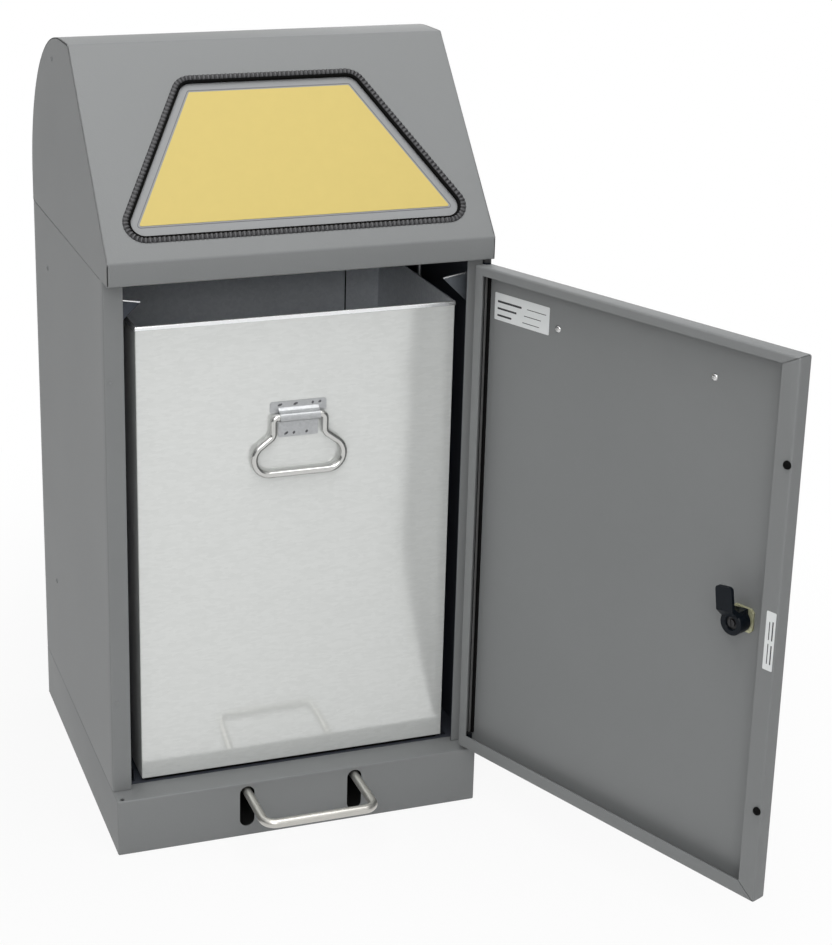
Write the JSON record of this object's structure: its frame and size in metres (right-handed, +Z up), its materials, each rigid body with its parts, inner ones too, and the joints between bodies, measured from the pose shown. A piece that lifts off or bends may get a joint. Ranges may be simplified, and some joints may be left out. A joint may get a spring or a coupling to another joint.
{
  "type": "recycling bin",
  "caption": "Sheet-steel waste sorter on a plinth: hood with a sloping trapezoid inlet and pedal flap, hinged locking door, lift-out galvanised container with folding handle.",
  "frame": {"origin": "centre of the cabinet's footprint on the floor", "axes": "+Z up, -Y towards the front where the door, inlet and pedal are, +X to the right seen from the front (the door's pins)"},
  "size_m": [0.5781, 0.7853, 0.865],
  "materials": {
    "paint": "satin powder coat, warm mid grey",
    "zinc": "zinc-plated sheet, dull",
    "galvanised": "galvanised sheet, dull with a faint spangle",
    "bright_steel": "bright zinc-plated steel",
    "black_steel": "blackened steel",
    "passivated": "yellow-passivated zinc",
    "black_rubber": "matt black rubber",
    "black_plastic": "matt black plastic",
    "label_yellow": "plain yellow film, blank",
    "label_white": "plain white film, blank"
  },
  "bodies": {
    "cabinet": {"plinth": "paint", "floor_pan": "paint", "side_panel_left": "paint", "side_panel_right": "paint", "back_panel": "paint", "hood_sheet": "paint", "hood_cheek_left": "paint", "hood_cheek_right": "paint", "inlet_trim": "black_rubber", "corner_gusset_left": "zinc", "corner_gusset_right": "zinc", "container_guides": "zinc", "rear_stop": "zinc", "side_rivets": "paint", "stile_plugs": "paint", "pivot_pin_lower": "black_steel", "pivot_pin_upper": "black_steel", "flap_bearings": "black_plastic", "pedal_brackets": "zinc", "rod_guides": "zinc"},
    "door": {"door_pan": "paint", "door_bushes": "black_plastic", "door_seal": "black_rubber", "door_buffers": "black_rubber", "door_screws": "bright_steel", "lock_housing": "passivated", "lock_rosette": "bright_steel", "door_label": "label_white", "edge_label": "label_white"},
    "lock": {"lock_plug": "bright_steel", "lock_cam": "black_plastic", "cam_screw": "black_steel"},
    "container": {"container_shell": "galvanised", "container_rim": "galvanised", "handle_plate": "galvanised", "handle_rivets": "galvanised"},
    "bail": {"container_bail": "bright_steel"},
    "flap": {"flap_panel": "paint", "flap_label": "label_yellow", "flap_shaft": "bright_steel", "flap_straps": "zinc", "flap_crank": "zinc"},
    "pedal": {"pedal_rod": "bright_steel", "pedal_hubs": "zinc", "pedal_shaft": "zinc", "pedal_lever": "zinc"},
    "push_rod": {"push_rod": "zinc", "rod_collar": "bright_steel", "return_spring": "bright_steel"}
  },
  "joints": [
    {"name": "door_hinge", "type": "hinge", "parent": "cabinet", "child": "door", "pos_m": [0.2035, -0.1975, 0], "axis": [0, 0, 1], "range_deg": [-112.7, 62.3]},
    {"name": "lock_turn", "type": "hinge", "parent": "door", "child": "lock", "pos_m": [0.34281, -0.53054, 0.359], "axis": [-0.9225, -0.3859, 0], "range_deg": [-90, 0]},
    {"name": "container_slide", "type": "slide", "parent": "cabinet", "child": "container", "axis": [0, -1, 0], "range_m": [0, 0.2]},
    {"name": "bail_swing", "type": "hinge", "parent": "container", "child": "bail", "pos_m": [0.003, -0.17405, 0.4817], "axis": [-1, 0, 0], "range_deg": [0, 95]},
    {"name": "pedal_press", "type": "hinge", "parent": "cabinet", "child": "pedal", "pos_m": [0, -0.1025, 0.055], "axis": [1, 0, 0], "range_deg": [0, 14], "stiffness_Nm_per_rad": 12, "springref_deg": -17.19},
    {"name": "rod_slide", "type": "slide", "parent": "cabinet", "child": "push_rod", "axis": [0, 0, 1], "range_m": [0, 0.019], "deforming": ["return_spring"]},
    {"name": "flap_hinge", "type": "hinge", "parent": "cabinet", "child": "flap", "pos_m": [0, -0.04412, 0.83169], "axis": [1, 0, 0], "range_deg": [0, 60.5]}
  ],
  "couplings": [
    {"joint": "rod_slide", "follows": "pedal_press", "m_per_rad": 0.076945},
    {"joint": "flap_hinge", "follows": "pedal_press", "ratio": 4.2857}
  ]
}
